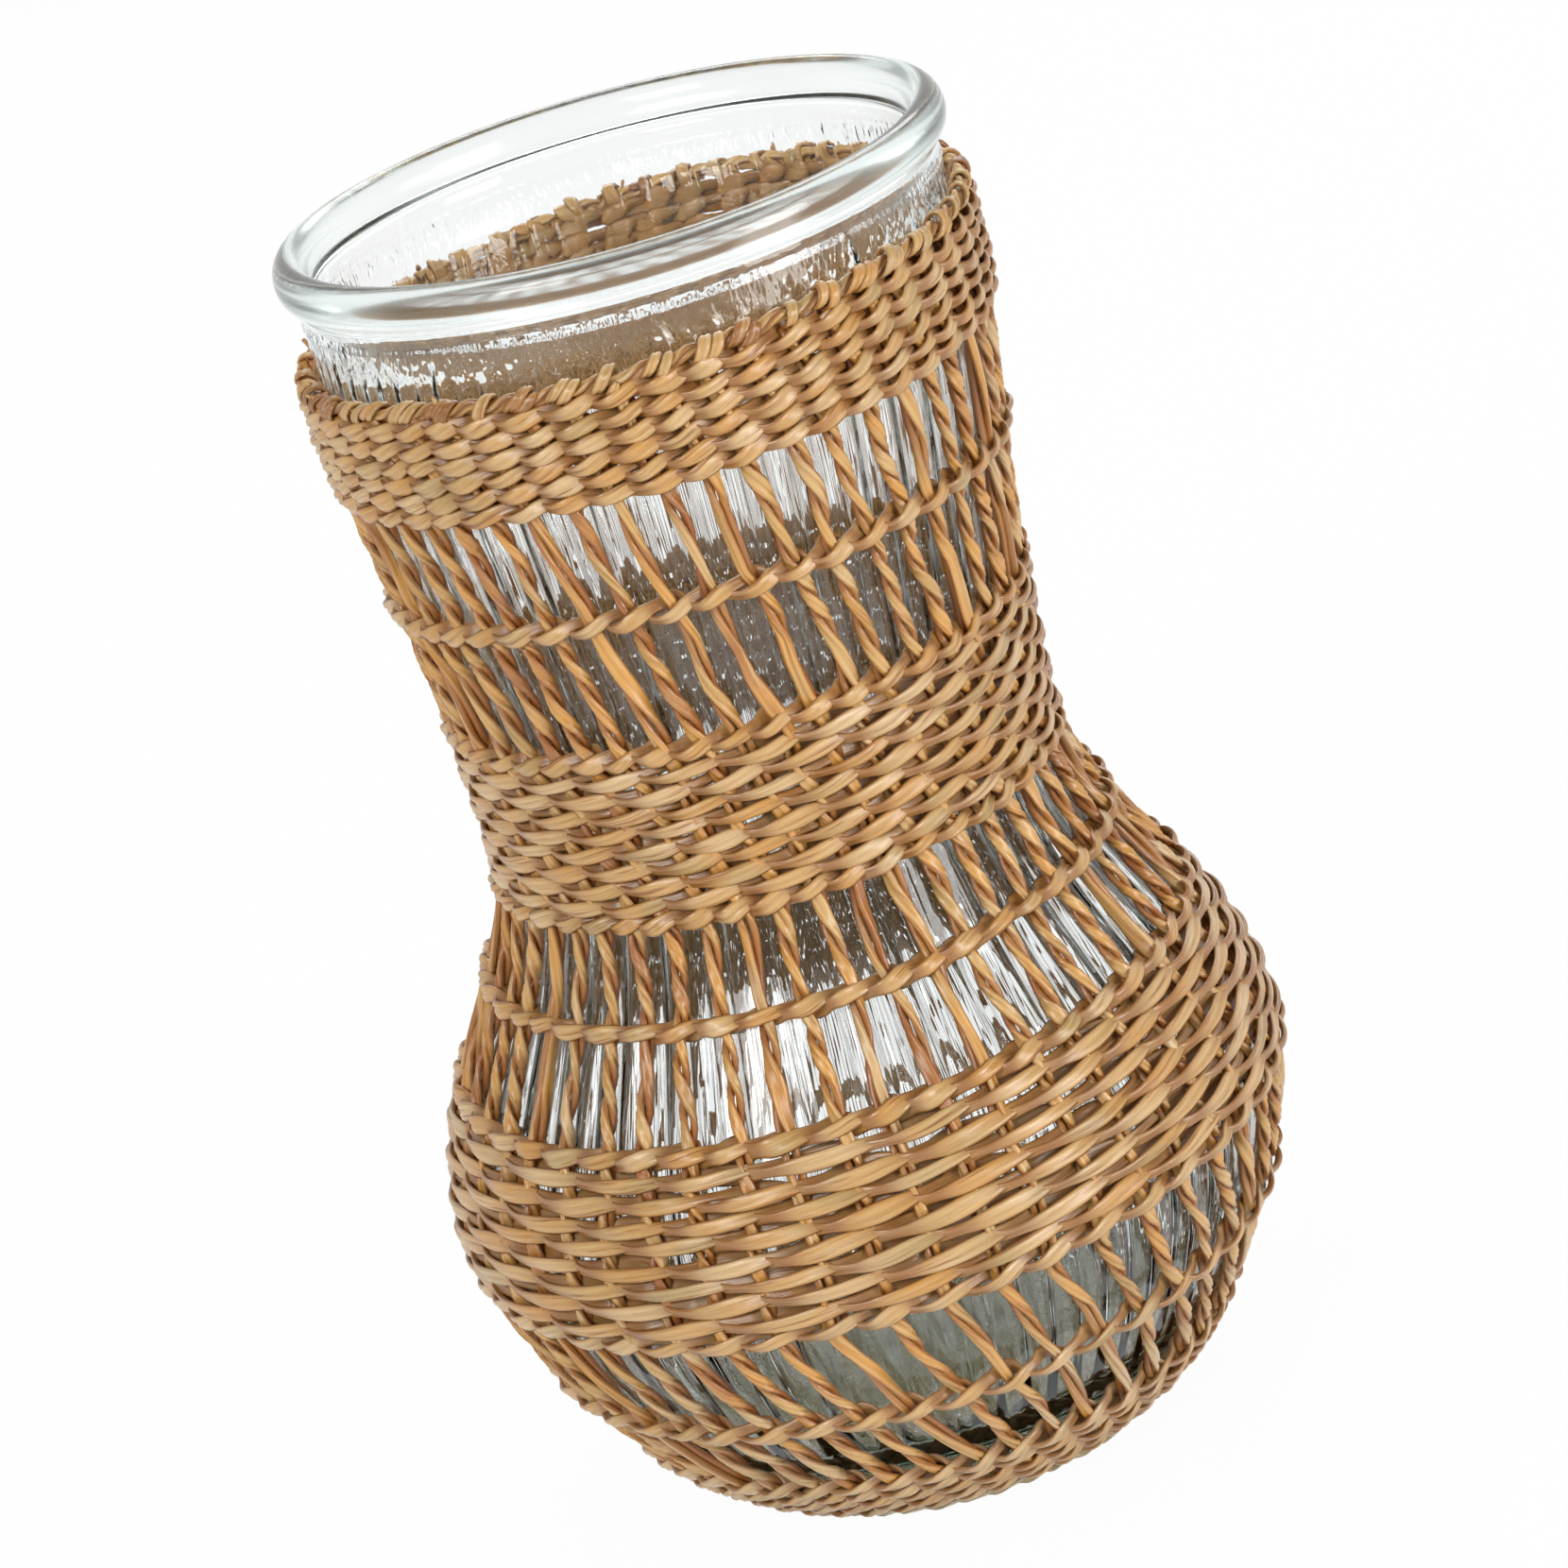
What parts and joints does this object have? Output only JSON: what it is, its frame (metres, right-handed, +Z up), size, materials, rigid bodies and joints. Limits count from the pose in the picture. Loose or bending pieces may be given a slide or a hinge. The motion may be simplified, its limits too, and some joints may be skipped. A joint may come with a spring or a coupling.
{
  "type": "vase",
  "caption": "Clear glass vase with a rolled rim, waist and full belly, held in an open sleeve of twisted upright cords and twined bands of natural rush.",
  "frame": {"origin": "on the table, under the middle of the base mat", "axes": "+Z up along the vase's axis, -Y towards the viewer of the picture, +X to the viewer's right"},
  "size_m": [0.1842, 0.1842, 0.2864],
  "materials": {
    "clear_glass": "clear pressed glass with a faint green tint",
    "warp_rush": "two-strand twisted rush cord, satin",
    "weft_rush": "flattened rush strands, satin, straw to olive"
  },
  "bodies": {
    "root": {"glass_vessel": "clear_glass", "warp_cord_01": "warp_rush", "warp_cord_02": "warp_rush", "warp_cord_03": "warp_rush", "warp_cord_04": "warp_rush", "warp_cord_05": "warp_rush", "warp_cord_06": "warp_rush", "warp_cord_07": "warp_rush", "warp_cord_08": "warp_rush", "warp_cord_09": "warp_rush", "warp_cord_10": "warp_rush", "warp_cord_11": "warp_rush", "warp_cord_12": "warp_rush", "warp_cord_13": "warp_rush", "warp_cord_14": "warp_rush", "warp_cord_15": "warp_rush", "warp_cord_16": "warp_rush", "warp_cord_17": "warp_rush", "warp_cord_18": "warp_rush", "warp_cord_19": "warp_rush", "warp_cord_20": "warp_rush", "warp_cord_21": "warp_rush", "warp_cord_22": "warp_rush", "warp_cord_23": "warp_rush", "warp_cord_24": "warp_rush", "warp_cord_25": "warp_rush", "warp_cord_26": "warp_rush", "warp_cord_27": "warp_rush", "warp_cord_28": "warp_rush", "warp_cord_29": "warp_rush", "warp_cord_30": "warp_rush", "warp_cord_31": "warp_rush", "warp_cord_32": "warp_rush", "warp_cord_33": "warp_rush", "warp_cord_34": "warp_rush", "warp_cord_35": "warp_rush", "warp_cord_36": "warp_rush", "warp_cord_37": "warp_rush", "warp_cord_38": "warp_rush", "warp_cord_39": "warp_rush", "warp_cord_40": "warp_rush", "warp_cord_41": "warp_rush", "warp_cord_42": "warp_rush", "warp_cord_43": "warp_rush", "warp_cord_44": "warp_rush", "warp_cord_45": "warp_rush", "warp_cord_46": "warp_rush", "warp_cord_47": "warp_rush", "warp_cord_48": "warp_rush", "base_mat": "weft_rush", "heel_band": "weft_rush", "lower_row": "weft_rush", "belly_band": "weft_rush", "shoulder_row": "weft_rush", "waist_band": "weft_rush", "upper_row": "weft_rush", "top_band": "weft_rush", "rim_border": "weft_rush"}
  },
  "joints": []
}
